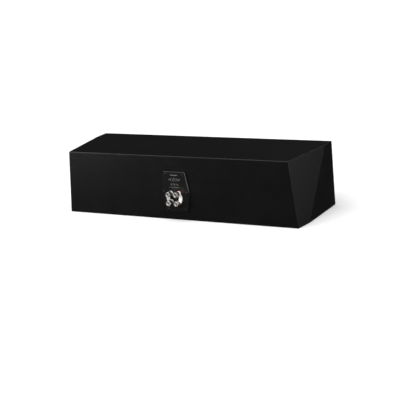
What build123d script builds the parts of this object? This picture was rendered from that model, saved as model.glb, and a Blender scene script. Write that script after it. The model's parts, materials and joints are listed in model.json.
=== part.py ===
from build123d import *
import math
import os

# Two-way centre channel loudspeaker in millimetres: a wide sealed cabinet whose rear ends are cut
# by slanted facets, two bass drivers beside a dome tweeter on the front, and a six-sided terminal
# plate with two pairs of binding posts on the back.
# Frame: +Z up, the front faces -Y and the back +Y. The origin is the middle of the underside.

# Cabinet
CABINET_WIDTH = 700.0
CABINET_HEIGHT = 170.0
CABINET_DEPTH = 215.0
WALL = 16.0                      # top, bottom, back and end panels
BAFFLE_THICKNESS = 22.0
EDGE_RADIUS = 1.5
BEVEL_TOP = 23.5                 # taken off each end at the top rear corner
BEVEL_BOTTOM = 7.0               # taken off each end at the bottom rear corner
BEVEL_RUN = 172.0                # length of the facet along the top edge
SLANT_LIMIT = 0.01               # direction below which an edge counts as square to an axis
PARALLEL = 0.999                 # cosine above which two walls count as parallel
BRACE_OFFSET = 84.0              # middle of the cabinet to the middle of a brace
BRACE_THICKNESS = 12.0
BRACE_FRAME = 20.0               # width of the brace left around its window
BRACE_CORNER = 18.0

# Driver mounting
REBATE_CLEARANCE = 0.3           # round a flange that is let into the baffle
CUTOUT_CLEARANCE = 1.0           # round a driver's body where it passes the baffle
GASKET_THICKNESS = 1.0
GASKET_MARGIN = 0.5              # gasket's edge inside the flange's edge
SCREW_HEAD_DIAMETER = 7.4
SCREW_HEAD_HEIGHT = 2.8
SCREW_HEAD_SINK = 0.3            # head below the flange's face
SCREW_DIAMETER = 4.0
SCREW_CLEARANCE = 0.1            # all round a screw in its hole
SCREW_BITE = 11.0                # length of screw in the wood
SCREW_TIP_GAP = 1.0              # hole beyond the screw's tip
SOCKET_WIDTH = 3.0               # across the flats
SOCKET_DEPTH = 1.6

# Bass drivers
WOOFER_SPACING = 350.0           # between the two axes
WOOFER_FLANGE_DIAMETER = 146.0
WOOFER_FLANGE_THICKNESS = 6.0
WOOFER_FLANGE_ROUND = 1.0
FLANGE_BEVEL = 1.2               # inner edge, round the surround
WOOFER_SCREWS = 6
BASKET_DIAMETER = 120.0          # outside, behind the flange
BASKET_WALL = 3.0
BASKET_SKIRT = 13.0              # depth of the straight part, from the flange's face
BASKET_DEPTH = 46.0              # flange's face to the basket's back
BASKET_FLOOR = 3.0
BASKET_FLOOR_DIAMETER = 90.0
BASKET_SPOKES = 6
SPOKE_WIDTH = 12.0
SEAT_DEPTH = 4.5                 # surround's seat below the flange's face
SEAT_WIDTH = 3.8
SPIDER_DIAMETER = 78.0
SPIDER_LAND_WIDTH = 4.0
SPIDER_LAND_HEIGHT = 6.0         # above the basket's floor
SPIDER_THICKNESS = 0.6
SPIDER_WAVES = 3
SPIDER_COLLAR = 1.5              # flat ring at the voice coil
CONE_DEPTH = 22.5
CONE_THICKNESS = 1.0             # along the axis
CONE_LIP = 3.0                   # flat ring under the surround
CONE_COLLAR = 4.0                # length of the neck on the voice coil
DUST_CAP_DIAMETER = 46.0
DUST_CAP_HEIGHT = 7.0
DUST_CAP_THICKNESS = 0.8
SURROUND_THICKNESS = 0.7
SURROUND_ROLL = 7.0              # width of the half roll
GLUE_LINE = 0.05
FORMER_DIAMETER = 34.0
FORMER_WALL = 0.3
FORMER_STEP = 1.0                # former in front of the cone's neck
WINDING_THICKNESS = 0.6
WINDING_LENGTH = 14.0
COIL_CLEARANCE = 0.5             # each side of the coil in its gap
TOP_PLATE_DIAMETER = 80.0
TOP_PLATE_THICKNESS = 6.0
MAGNET_DIAMETER = 90.0
MAGNET_HOLE = 48.0
MAGNET_THICKNESS = 15.0
YOKE_DIAMETER = 84.0
YOKE_THICKNESS = 6.0
POLE_VENT_DIAMETER = 10.0

# Tweeter
TWEETER_DIAMETER = 104.0
TWEETER_THICKNESS = 4.5
TWEETER_ROUND = 0.8
TWEETER_SCREWS = 4
TWEETER_SCREW_ANGLE = 45.0       # first screw from the level, in degrees
HORN_MOUTH_DIAMETER = 62.0       # shallow dish round the dome
HORN_THROAT_DIAMETER = 34.0
HORN_DEPTH = 3.2
HORN_SAG = 0.6                   # share of its depth at half way
DOME_DIAMETER = 26.0
DOME_HEIGHT = 4.2
DOME_THICKNESS = 0.35
DOME_ROLL = 2.8                  # width of its half roll
DOME_FLANGE = 5.0                # clamped ring outside the roll
DOME_FORMER_LENGTH = 5.0
DOME_COIL_CLEARANCE = 0.4
TWEETER_MOTOR_DIAMETER = 76.0
TWEETER_TOP_PLATE = 4.0
TWEETER_MAGNET = 12.0
TWEETER_MAGNET_HOLE = 40.0
TWEETER_YOKE = 5.0

# Connection blocks of the drivers
BLOCK_LENGTH = 14.0
BLOCK_WIDTH = 12.0
BLOCK_HEIGHT = 4.0

# Terminal plate
PLATE_HEIGHT = 107.5
PLATE_END_WIDTH = 65.0           # along the top and bottom edges
PLATE_MIDDLE_WIDTH = 83.5
PLATE_BOTTOM = 22.0              # above the cabinet's underside
PLATE_THICKNESS = 3.0
PLATE_CHAMFER = 1.0
PLATE_CORNER = 2.5
PLATE_GASKET = 0.8
PLATE_GASKET_INSET = 2.0
PLATE_SCREW_INSET = 7.5          # screw to the plate's edge
PLATE_SCREW_HEAD = 5.6
PLATE_SCREW_DIAMETER = 3.0
PLATE_SCREW_DOME = 1.6
PLATE_SCREW_SHOULDER = 0.7       # share of the head's radius at the shoulder of its dome
PLATE_SCREW_CROWN = 0.75         # share of the dome's height there
PLATE_SCREW_LENGTH = 14.0
SLOT_WIDTH = 0.8
SLOT_DEPTH = 0.9
TERMINAL_HOLE_WIDTH = 50.0
TERMINAL_HOLE_HEIGHT = 52.0
TERMINAL_HOLE_CORNER = 6.0

# Binding posts
POST_SPACING_X = 23.2
POST_SPACING_Z = 23.5
POST_HEIGHT = 61.25              # middle of the four, above the underside
STUD_DIAMETER = 6.0
STUD_INNER_LENGTH = 14.0         # behind the plate's face
STUD_RECESS = 0.8                # stud's end inside the thumb nut
STUD_COLLAR_DIAMETER = 12.6
STUD_COLLAR = 2.5
SOCKET_BORE = 4.0                # takes a banana plug
SOCKET_BORE_DEPTH = 14.0
BUSH_DIAMETER = 13.8
BUSH_THICKNESS = 3.0
BUSH_SPIGOT_DIAMETER = 9.0
POST_CLEARANCE = 0.1             # round a piece that sits in a hole
WASHER_DIAMETER = 12.0
WASHER_THICKNESS = 1.0
LOOSE_CLEARANCE = 0.3            # round the stud in a washer or jumper
THREAD_CLEARANCE = 0.05
NUT_DIAMETER = 14.2
NUT_LENGTH = 13.0
NUT_CHAMFER = 0.8
NUT_FLUTES = 16
NUT_FLUTE_DIAMETER = 1.5
NUT_FLUTE_END = 2.2              # plain band at each end of the grip
NUT_MOUTH_DIAMETER = 8.6         # countersink at the outer end
NUT_MOUTH_DEPTH = 1.2
JUMPER_WIDTH = 9.4
JUMPER_THICKNESS = 1.6
JUMPER_BOW = 7.0                 # sideways bow of its middle
JUMPER_ROUND = 0.5
TAG_DIAMETER = 10.5
TAG_THICKNESS = 0.8
TAG_REACH = 11.0                 # stud's axis to the tag's end
TAG_WIDTH = 5.0
HEX_NUT_WIDTH = 10.0             # across the flats
HEX_NUT_THICKNESS = 5.0

# Crossover
BOARD_THICKNESS = 4.0
BOARD_GAP = 10.0                 # brace to board
BOARD_BACK_GAP = 6.0             # board to back panel
BOARD_SCREW_INSET = 5.0
BOARD_WIRE_STRIP = 24.0          # left free for the wires
COMPONENT_GAP = 8.0              # between components and round the board's edge
BASS_COIL_DIAMETER = 46.0
BASS_COIL_HEIGHT = 22.0
TREBLE_COIL_DIAMETER = 30.0
TREBLE_COIL_HEIGHT = 14.0
COIL_HOLE_SHARE = 0.42
CAPACITOR_DIAMETER = 17.0
CAPACITOR_LENGTH = 40.0
CAPACITOR_ROUND = 1.2
RESISTOR_LENGTH = 22.0
RESISTOR_WIDTH = 9.0

# Wiring and damping
WIRE_DIAMETER = 3.0
CABLE_DIAMETER = 5.0             # twin cable to a driver
WIRE_BEND = 9.0
WIRE_PITCH = 6.0
PAD_THICKNESS = 30.0
PAD_GAP = 8.0                    # pad to the panels beside it

FRONT = -CABINET_DEPTH / 2
BACK = CABINET_DEPTH / 2
DRIVER_Z = CABINET_HEIGHT / 2
INNER_FRONT = FRONT + BAFFLE_THICKNESS
INNER_BACK = BACK - WALL
INNER_TOP = CABINET_HEIGHT - WALL


# General shapes
def ring(outer, inner, low, high):
    """Flat ring between two diameters and two heights."""
    return Pos(0, 0, low) * extrude(Circle(outer / 2) - Circle(inner / 2), amount=high - low)


def disc(diameter, low, high):
    """Plain round slug between two heights."""
    return Pos(0, 0, low) * extrude(Circle(diameter / 2), amount=high - low)


def turned(*edges):
    """Solid turned about the axis from edges that close a (radius, height) profile."""
    return revolve(Plane.XZ * make_face(edges), Axis.Z)


def turned_outline(*points):
    """Solid turned about the axis from the corners of a (radius, height) profile."""
    return turned(Polyline(*points, close=True))


def on_circle(diameter, count, solid, start=0.0):
    """Copies of a solid evenly spaced on a circle."""
    return [place * solid for place in PolarLocations(diameter / 2, count, start_angle=start)]


def without(solid, tools):
    """Solid with every tool cut away."""
    for tool in tools:
        solid = solid - tool
    return solid


def on_baffle(x, shape):
    """Place a shape made on the Z axis at the baffle, its height 0 on the front and +Z outward."""
    return Plane(origin=(x, FRONT, DRIVER_Z), x_dir=(1, 0, 0), z_dir=(0, -1, 0)).location * shape


def on_back(x, z, out, shape):
    """Place a shape at the back, right and up as seen from behind, at a distance from the panel."""
    return Plane(origin=(-x, BACK + out, z), x_dir=(-1, 0, 0), z_dir=(0, 1, 0)).location * shape


def export(name, *shapes):
    """Write one node: a single solid or a group of like ones."""
    solids = [solid for shape in shapes for solid in shape.solids()]
    export_step(solids[0] if len(solids) == 1 else Compound(solids), f"parts/{name}.step")


# Cabinet: panels mitred along the planes where two walls run equally deep
def facet(side):
    """Outward normal and one corner of the slanted facet on the end at +X or -X."""
    top = Vector(side * (CABINET_WIDTH / 2 - BEVEL_TOP), BACK, CABINET_HEIGHT)
    low = Vector(side * (CABINET_WIDTH / 2 - BEVEL_BOTTOM), BACK, 0)
    fold = Vector(side * CABINET_WIDTH / 2, BACK - BEVEL_RUN, CABINET_HEIGHT)
    normal = (fold - top).cross(low - top).normalized() * side
    return (normal if normal.X * side > 0 else normal * -1), top


def walls():
    """Each panel's outer planes: outward normal, a point on it and the thickness behind it."""
    planes = {
        "front_baffle": [(Vector(0, -1, 0), Vector(0, FRONT, 0), BAFFLE_THICKNESS)],
        "back_panel": [(Vector(0, 1, 0), Vector(0, BACK, 0), WALL)],
        "top_panel": [(Vector(0, 0, 1), Vector(0, 0, CABINET_HEIGHT), WALL)],
        "bottom_panel": [(Vector(0, 0, -1), Vector(0, 0, 0), WALL)],
    }
    for name, side in (("left_end_panel", -1), ("right_end_panel", 1)):
        square = (Vector(side, 0, 0), Vector(side * CABINET_WIDTH / 2, 0, 0), WALL)
        planes[name] = [square, (*facet(side), WALL)]
    return planes


def trimmed(shape, normal, point):
    """What lies behind a plane."""
    return split(shape, bisect_by=Plane(origin=point, z_dir=normal), keep=Keep.BOTTOM)


def hull(planes, inset):
    """Closed form bounded by every plane, moved inward by its thickness times inset."""
    shape = Pos(0, 0, CABINET_HEIGHT / 2) * Box(2 * CABINET_WIDTH, 2 * CABINET_DEPTH, 2 * CABINET_HEIGHT)
    for normal, point, thickness in planes:
        shape = trimmed(shape, normal, point - normal * (thickness * inset))
    return shape


def is_fold(edge):
    """True for the slanting line between an end's square part and its facet."""
    along = edge % 0.5
    return abs(along.X) < SLANT_LIMIT < min(abs(along.Y), abs(along.Z))


def mitre(shape, plane, other):
    """The part of a shape that lies nearer to one wall than to the other, by share of thickness."""
    normal, point, thickness = plane
    other_normal, other_point, other_thickness = other
    slope = other_normal / other_thickness - normal / thickness
    level = normal.dot(point) / thickness - other_normal.dot(other_point) / other_thickness
    return trimmed(shape, slope, slope * (-level / slope.length**2))


def cabinet_panels():
    """The six panels, as wood glued at mitred edges, with the outer edges eased."""
    planes = walls()
    every = [plane for group in planes.values() for plane in group]
    outer = hull(every, 0)
    outer = fillet([edge for edge in outer.edges() if not is_fold(edge)], EDGE_RADIUS)
    shell = outer - hull(every, 1)
    panels = {}
    for name, group in planes.items():
        pieces = []
        for plane in group:
            piece = shell
            for other in every:
                if other is not plane and abs(plane[0].dot(other[0])) < PARALLEL:
                    piece = mitre(piece, plane, other)
            pieces.append(piece)
        panels[name] = pieces[0] if len(pieces) == 1 else pieces[0] + pieces[1]
    return panels


def brace():
    """Upright frame inside the cabinet, glued to the baffle and to the panels round it."""
    deep = INNER_BACK - INNER_FRONT
    tall = INNER_TOP - WALL
    window = RectangleRounded(deep - 2 * BRACE_FRAME, tall - 2 * BRACE_FRAME, BRACE_CORNER)
    sheet = extrude(Rectangle(deep, tall) - window, amount=BRACE_THICKNESS / 2, both=True)
    middle = (0, (INNER_FRONT + INNER_BACK) / 2, (WALL + INNER_TOP) / 2)
    return Plane(origin=middle, x_dir=(0, 1, 0), z_dir=(1, 0, 0)).location * sheet


# Screws that hold a driver's flange, made on the Z axis with the flange's face at height 0
def flange_screw(flange):
    """Socket head screw through a flange of the given thickness."""
    seat = -SCREW_HEAD_SINK - SCREW_HEAD_HEIGHT
    head = disc(SCREW_HEAD_DIAMETER, seat, -SCREW_HEAD_SINK)
    head = fillet(head.edges().group_by(Axis.Z)[-1], SCREW_HEAD_HEIGHT / 5)
    shank = disc(SCREW_DIAMETER, -flange - GASKET_THICKNESS - SCREW_BITE, seat)
    key = extrude(RegularPolygon(SOCKET_WIDTH / 2, 6, major_radius=False), amount=-SOCKET_DEPTH)
    return head + shank - Pos(0, 0, -SCREW_HEAD_SINK) * key


def flange_screw_hole(flange):
    """Counterbore, clearance hole and pilot hole for the same screw."""
    seat = -SCREW_HEAD_SINK - SCREW_HEAD_HEIGHT
    bottom = -flange - GASKET_THICKNESS - SCREW_BITE - SCREW_TIP_GAP
    bore = disc(SCREW_DIAMETER + 2 * SCREW_CLEARANCE, bottom, seat)
    return bore + disc(SCREW_HEAD_DIAMETER + 2 * SCREW_CLEARANCE, seat, SCREW_HEAD_HEIGHT)


# Bass driver, made on the Z axis with the flange's face at height 0
SEAT_OUTER = BASKET_DIAMETER / 2 - BASKET_WALL + SEAT_WIDTH
SURROUND_OUTER = BASKET_DIAMETER / 2 - BASKET_WALL
SURROUND_INNER = SURROUND_OUTER - SURROUND_ROLL
CONE_INNER_LIP = SURROUND_INNER - CONE_LIP
CONE_NECK = FORMER_DIAMETER / 2 + GLUE_LINE
NECK_HEIGHT = -SEAT_DEPTH - CONE_DEPTH
FLOOR_HEIGHT = -BASKET_DEPTH + BASKET_FLOOR
SPIDER_HEIGHT = FLOOR_HEIGHT + SPIDER_LAND_HEIGHT
TOP_PLATE_BACK = -BASKET_DEPTH - TOP_PLATE_THICKNESS
MAGNET_BACK = TOP_PLATE_BACK - MAGNET_THICKNESS
YOKE_BACK = MAGNET_BACK - YOKE_THICKNESS
GAP_OUTER = FORMER_DIAMETER + 2 * WINDING_THICKNESS + 2 * COIL_CLEARANCE
POLE_DIAMETER = FORMER_DIAMETER - 2 * FORMER_WALL - 2 * COIL_CLEARANCE
WOOFER_SCREW_CIRCLE = WOOFER_FLANGE_DIAMETER / 2 + SEAT_OUTER


def basket_window():
    """Prism that opens the basket's side between two spokes."""
    inner = BASKET_FLOOR_DIAMETER / 2
    outer = BASKET_DIAMETER / 2 + BASKET_WALL
    step = 360 / BASKET_SPOKES
    half_inner = step / 2 - math.degrees(SPOKE_WIDTH / 2 / inner)
    half_outer = step / 2 - math.degrees(SPOKE_WIDTH / 2 / outer)
    far = CenterArc((0, 0), outer, -half_outer, 2 * half_outer)
    near = CenterArc((0, 0), inner, -half_inner, 2 * half_inner)
    window = make_face([far, near, Line(near @ 0, far @ 0), Line(near @ 1, far @ 1)])
    return Pos(0, 0, FLOOR_HEIGHT) * extrude(window, amount=-BASKET_SKIRT - FLOOR_HEIGHT)


def basket():
    """Cast basket: flange, surround seat, six spokes, spider land and floor."""
    flange = WOOFER_FLANGE_DIAMETER / 2
    body = BASKET_DIAMETER / 2
    floor = BASKET_FLOOR_DIAMETER / 2
    land = SPIDER_DIAMETER / 2
    cast = turned_outline(
        (SEAT_OUTER, -FLANGE_BEVEL), (SEAT_OUTER + FLANGE_BEVEL, 0), (flange, 0),
        (flange, -WOOFER_FLANGE_THICKNESS), (body, -WOOFER_FLANGE_THICKNESS),
        (body, -BASKET_SKIRT), (floor, FLOOR_HEIGHT),
        (floor, -BASKET_DEPTH), (GAP_OUTER / 2, -BASKET_DEPTH), (GAP_OUTER / 2, FLOOR_HEIGHT),
        (land - SPIDER_LAND_WIDTH, FLOOR_HEIGHT), (land - SPIDER_LAND_WIDTH, SPIDER_HEIGHT),
        (land, SPIDER_HEIGHT), (land, FLOOR_HEIGHT), (floor - BASKET_WALL, FLOOR_HEIGHT),
        (SURROUND_OUTER, -BASKET_SKIRT), (SURROUND_OUTER, -SEAT_DEPTH), (SEAT_OUTER, -SEAT_DEPTH),
    )
    rim = cast.edges().filter_by(GeomType.CIRCLE).group_by(Axis.Z)[-1]
    cast = fillet(rim.sort_by(SortBy.RADIUS)[-1], WOOFER_FLANGE_ROUND)
    windows = on_circle(0, BASKET_SPOKES, basket_window())
    holes = on_circle(WOOFER_SCREW_CIRCLE, WOOFER_SCREWS, flange_screw_hole(WOOFER_FLANGE_THICKNESS))
    return without(cast, windows + holes)


def yoke():
    """Back plate with its vented pole."""
    plate = disc(YOKE_DIAMETER, YOKE_BACK, MAGNET_BACK)
    pole = disc(POLE_DIAMETER, MAGNET_BACK, -BASKET_DEPTH)
    return plate + pole - disc(POLE_VENT_DIAMETER, YOKE_BACK, -BASKET_DEPTH)


def voice_coil():
    """Former with its winding centred in the gap."""
    middle = -BASKET_DEPTH - TOP_PLATE_THICKNESS / 2
    low = middle - WINDING_LENGTH / 2
    inner = FORMER_DIAMETER / 2 - FORMER_WALL
    outer = FORMER_DIAMETER / 2
    wound = outer + WINDING_THICKNESS
    high = low + WINDING_LENGTH
    return turned_outline(
        (inner, low), (wound, low), (wound, high), (outer, high),
        (outer, NECK_HEIGHT + FORMER_STEP), (inner, NECK_HEIGHT + FORMER_STEP),
    )


def spider():
    """Corrugated cloth disc between the voice coil and the basket's land."""
    start = CONE_NECK + SPIDER_COLLAR
    end = SPIDER_DIAMETER / 2 - SPIDER_LAND_WIDTH
    width = (end - start) / (2 * SPIDER_WAVES)
    under = []
    over = []
    for index in range(2 * SPIDER_WAVES):
        lift = width / 2 * (-1) ** index
        left = start + index * width
        under.append(ThreePointArc((left, 0), (left + width / 2, lift), (left + width, 0)))
        over.append(Pos(0, SPIDER_THICKNESS) * under[-1])
    edges = [
        Line((CONE_NECK, 0), (start, 0)), *under, Line((end, 0), (SPIDER_DIAMETER / 2, 0)),
        Line((SPIDER_DIAMETER / 2, 0), (SPIDER_DIAMETER / 2, SPIDER_THICKNESS)),
        Line((SPIDER_DIAMETER / 2, SPIDER_THICKNESS), (end, SPIDER_THICKNESS)), *over,
        Line((start, SPIDER_THICKNESS), (CONE_NECK, SPIDER_THICKNESS)),
        Line((CONE_NECK, SPIDER_THICKNESS), (CONE_NECK, 0)),
    ]
    return Pos(0, 0, SPIDER_HEIGHT) * turned(*edges)


def cone_front(radius):
    """Height of the cone's front face at a radius."""
    return NECK_HEIGHT + CONE_DEPTH * (radius - CONE_NECK) / (CONE_INNER_LIP - CONE_NECK)


def cone():
    """Straight-sided cone with a neck on the voice coil and a lip under the surround."""
    skin = CONE_NECK + CONE_THICKNESS
    low = NECK_HEIGHT - CONE_COLLAR
    return turned_outline(
        (CONE_NECK, low), (skin, low), (skin, cone_front(skin) - CONE_THICKNESS),
        (CONE_INNER_LIP, -SEAT_DEPTH - CONE_THICKNESS), (SURROUND_INNER, -SEAT_DEPTH - CONE_THICKNESS),
        (SURROUND_INNER, -SEAT_DEPTH), (CONE_INNER_LIP, -SEAT_DEPTH), (CONE_NECK, NECK_HEIGHT),
    )


def dust_cap():
    """Thin part of a sphere that closes the cone's middle."""
    rim = DUST_CAP_DIAMETER / 2
    sphere = (rim**2 + DUST_CAP_HEIGHT**2) / (2 * DUST_CAP_HEIGHT)
    inside = sphere - DUST_CAP_THICKNESS
    drop = sphere - DUST_CAP_HEIGHT
    edge_outer = math.asin(rim / sphere)
    edge_inner = math.acos(drop / inside)

    def at(radius, angle):
        return (radius * math.sin(angle), radius * math.cos(angle) - drop)

    skin = ThreePointArc(at(sphere, edge_outer), at(sphere, edge_outer / 2), at(sphere, 0))
    back = ThreePointArc(at(inside, 0), at(inside, edge_inner / 2), at(inside, edge_inner))
    cap = turned(skin, Line(skin @ 1, back @ 0), back, Line(back @ 1, skin @ 0))
    return Pos(0, 0, cone_front(rim) + GLUE_LINE) * cap


def surround():
    """Rubber half roll between the cone's lip and the basket's seat."""
    low = -SEAT_DEPTH
    high = low + SURROUND_THICKNESS
    middle = (SURROUND_INNER + SURROUND_OUTER) / 2
    outside = SURROUND_ROLL / 2
    inside = outside - SURROUND_THICKNESS
    over = ThreePointArc((middle - outside, high), (middle, high + outside), (middle + outside, high))
    under = ThreePointArc((middle + inside, high), (middle, high + inside), (middle - inside, high))
    rim = SEAT_OUTER - REBATE_CLEARANCE
    right = Polyline(over @ 1, (rim, high), (rim, low), (middle + inside, low), under @ 0)
    lip = [(CONE_INNER_LIP, low), (CONE_INNER_LIP, high)]
    left = Polyline(under @ 1, (middle - inside, low), *lip, over @ 0)
    return turned(over, right, under, left)


# Tweeter, made on the Z axis with the face plate's front at height 0
DIAPHRAGM_BACK = -TWEETER_THICKNESS - DOME_THICKNESS
TWEETER_MAGNET_FRONT = DIAPHRAGM_BACK - TWEETER_TOP_PLATE
TWEETER_YOKE_FRONT = TWEETER_MAGNET_FRONT - TWEETER_MAGNET
TWEETER_BACK = TWEETER_YOKE_FRONT - TWEETER_YOKE
TWEETER_SCREW_CIRCLE = (TWEETER_DIAMETER + TWEETER_MOTOR_DIAMETER) / 2
TWEETER_GAP_OUTER = DOME_DIAMETER + 2 * DOME_COIL_CLEARANCE
TWEETER_POLE = DOME_DIAMETER - 2 * DOME_THICKNESS - 2 * DOME_COIL_CLEARANCE


def at_tweeter_screws(solid):
    """Copies of a solid at the tweeter's screws."""
    return on_circle(TWEETER_SCREW_CIRCLE, TWEETER_SCREWS, solid, start=TWEETER_SCREW_ANGLE)


def tweeter_faceplate():
    """Round plate with a shallow curved dish round the dome."""
    rim = TWEETER_DIAMETER / 2
    mouth = HORN_MOUTH_DIAMETER / 2
    throat = HORN_THROAT_DIAMETER / 2
    bow = ((mouth + throat) / 2, -HORN_DEPTH * HORN_SAG)
    dish = ThreePointArc((throat, -HORN_DEPTH), bow, (mouth, 0))
    edge = Polyline(dish @ 1, (rim, 0), (rim, -TWEETER_THICKNESS), (throat, -TWEETER_THICKNESS), dish @ 0)
    plate = turned(dish, edge)
    border = plate.edges().filter_by(GeomType.CIRCLE).group_by(Axis.Z)[-1].sort_by(SortBy.RADIUS)[-1]
    plate = fillet(border, TWEETER_ROUND)
    hole = flange_screw_hole(TWEETER_THICKNESS)
    return without(plate, at_tweeter_screws(hole))


def tweeter_diaphragm():
    """Soft dome, its half roll, the clamped ring and the coil's former, in one bonded piece."""
    rim = DOME_DIAMETER / 2
    base = -TWEETER_THICKNESS
    sphere = (rim**2 + DOME_HEIGHT**2) / (2 * DOME_HEIGHT)
    drop = sphere - DOME_HEIGHT
    inside = sphere - DOME_THICKNESS
    edge_outer = math.asin(rim / sphere)
    edge_inner = math.asin((rim - DOME_THICKNESS) / inside)

    def at(radius, angle):
        return (radius * math.sin(angle), base + radius * math.cos(angle) - drop)

    roll_middle = rim + DOME_ROLL / 2
    roll = DOME_ROLL / 2
    hollow = roll - DOME_THICKNESS
    clamp = rim + DOME_ROLL + DOME_FLANGE
    dome = ThreePointArc(at(sphere, 0), at(sphere, edge_outer / 2), at(sphere, edge_outer))
    over = ThreePointArc((rim, base), (roll_middle, base + roll), (rim + DOME_ROLL, base))
    ring_edge = Polyline(
        over @ 1, (clamp, base), (clamp, DIAPHRAGM_BACK), (roll_middle + hollow, DIAPHRAGM_BACK),
        (roll_middle + hollow, base),
    )
    under = ThreePointArc(ring_edge @ 1, (roll_middle, base + hollow), (roll_middle - hollow, base))
    back = ThreePointArc(at(inside, edge_inner), at(inside, edge_inner / 2), at(inside, 0))
    former = Polyline(
        under @ 1, (roll_middle - hollow, DIAPHRAGM_BACK), (rim, DIAPHRAGM_BACK),
        (rim, base - DOME_FORMER_LENGTH), (rim - DOME_THICKNESS, base - DOME_FORMER_LENGTH), back @ 0,
    )
    return turned(dome, over, ring_edge, under, former, back, Line(back @ 1, dome @ 0))


def tweeter_yoke():
    """Back plate with the pole that fills the coil."""
    pole_top = -TWEETER_THICKNESS - DOME_FORMER_LENGTH / 4
    return disc(TWEETER_MOTOR_DIAMETER, TWEETER_BACK, TWEETER_YOKE_FRONT) + disc(
        TWEETER_POLE, TWEETER_YOKE_FRONT, pole_top
    )


# Gaskets and connection blocks of the drivers
def woofer_gasket():
    """Foam ring under a bass driver's flange."""
    top = -WOOFER_FLANGE_THICKNESS
    cutout = BASKET_DIAMETER + 2 * CUTOUT_CLEARANCE
    foam = ring(WOOFER_FLANGE_DIAMETER - 2 * GASKET_MARGIN, cutout, top - GASKET_THICKNESS, top)
    hole = flange_screw_hole(WOOFER_FLANGE_THICKNESS)
    return without(foam, on_circle(WOOFER_SCREW_CIRCLE, WOOFER_SCREWS, hole))


def tweeter_gasket():
    """Foam ring under the tweeter's face plate."""
    top = -TWEETER_THICKNESS
    cutout = TWEETER_MOTOR_DIAMETER + 2 * CUTOUT_CLEARANCE
    foam = ring(TWEETER_DIAMETER - 2 * GASKET_MARGIN, cutout, top - GASKET_THICKNESS, top)
    hole = flange_screw_hole(TWEETER_THICKNESS)
    return without(foam, at_tweeter_screws(hole))


def connection_block():
    """Small moulded block, its foot at height 0."""
    block = Pos(0, 0, BLOCK_HEIGHT / 2) * Box(BLOCK_WIDTH, BLOCK_LENGTH, BLOCK_HEIGHT)
    return chamfer(block.edges().filter_by(Axis.Z), BLOCK_HEIGHT / 4)


def driver_blocks():
    """Blocks on the backs of both baskets, beside the magnets, and behind the tweeter."""
    middle = (TOP_PLATE_DIAMETER + BLOCK_WIDTH) / 2 + GLUE_LINE
    woofer = Pos(middle, 0, -BASKET_DEPTH) * Rot(180, 0, 0) * connection_block()
    tweeter = Pos(0, -TWEETER_MOTOR_DIAMETER / 4, TWEETER_BACK) * Rot(180, 0, 0) * connection_block()
    places = [on_baffle(side * WOOFER_SPACING / 2, woofer) for side in (-1, 1)]
    return [*places, on_baffle(0, tweeter)]


# Baffle and back panel with their openings
def driver_opening(flange, thickness, body):
    """Rebate for a flange and its gasket, and the hole for the driver's body."""
    rebate = disc(flange + 2 * REBATE_CLEARANCE, -thickness - GASKET_THICKNESS, EDGE_RADIUS)
    return rebate + disc(body + 2 * CUTOUT_CLEARANCE, -2 * BAFFLE_THICKNESS, 0)


def front_baffle(panel):
    """Baffle with the drivers' openings and the pilot holes of their screws."""
    woofer = driver_opening(WOOFER_FLANGE_DIAMETER, WOOFER_FLANGE_THICKNESS, BASKET_DIAMETER)
    hole = flange_screw_hole(WOOFER_FLANGE_THICKNESS)
    tools = [woofer, *on_circle(WOOFER_SCREW_CIRCLE, WOOFER_SCREWS, hole)]
    cuts = [on_baffle(side * WOOFER_SPACING / 2, tool) for side in (-1, 1) for tool in tools]
    tweeter = driver_opening(TWEETER_DIAMETER, TWEETER_THICKNESS, TWEETER_MOTOR_DIAMETER)
    hole = flange_screw_hole(TWEETER_THICKNESS)
    small = at_tweeter_screws(hole)
    return without(panel, cuts + [on_baffle(0, tool) for tool in [tweeter, *small]])


# Terminal plate, drawn in the plane of the back with its middle at the origin
PLATE_Z = PLATE_BOTTOM + PLATE_HEIGHT / 2
PLATE_FACE = PLATE_GASKET + PLATE_THICKNESS
POST_PLACES = {
    "positive": [(POST_SPACING_X / 2, POST_HEIGHT + side * POST_SPACING_Z / 2) for side in (1, -1)],
    "negative": [(-POST_SPACING_X / 2, POST_HEIGHT + side * POST_SPACING_Z / 2) for side in (1, -1)],
}
ALL_POSTS = POST_PLACES["positive"] + POST_PLACES["negative"]


def plate_outline(inset):
    """Six-sided outline, widest at half height."""
    end = PLATE_END_WIDTH / 2 - inset
    middle = PLATE_MIDDLE_WIDTH / 2 - inset
    top = PLATE_HEIGHT / 2 - inset
    corners = [(end, top), (-end, top), (-middle, 0), (-end, -top), (end, -top), (middle, 0)]
    return make_face(Polyline(*corners, close=True))


def plate_screw_places():
    """Screws at the six corners of the plate."""
    end = PLATE_END_WIDTH / 2 - PLATE_SCREW_INSET
    middle = PLATE_MIDDLE_WIDTH / 2 - PLATE_SCREW_INSET
    top = PLATE_HEIGHT / 2 - PLATE_SCREW_INSET
    return [(side * x, z) for side in (-1, 1) for x, z in ((end, top), (middle, 0), (end, -top))]


def at_plate(places, shape):
    """Copies of a shape at places given from the plate's middle, height 0 on the panel."""
    return [on_back(x, PLATE_Z + z, 0, shape) for x, z in places]


def at_posts(places, shape):
    """Copies of a shape at post places, height 0 on the plate's face."""
    return [on_back(x, z, PLATE_FACE, shape) for x, z in places]


def plate_screw_hole():
    """Clearance hole for a plate screw, blind in the panel."""
    bottom = -PLATE_SCREW_LENGTH - SCREW_TIP_GAP
    return disc(PLATE_SCREW_DIAMETER + 2 * SCREW_CLEARANCE, bottom, 2 * PLATE_FACE)


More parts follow.
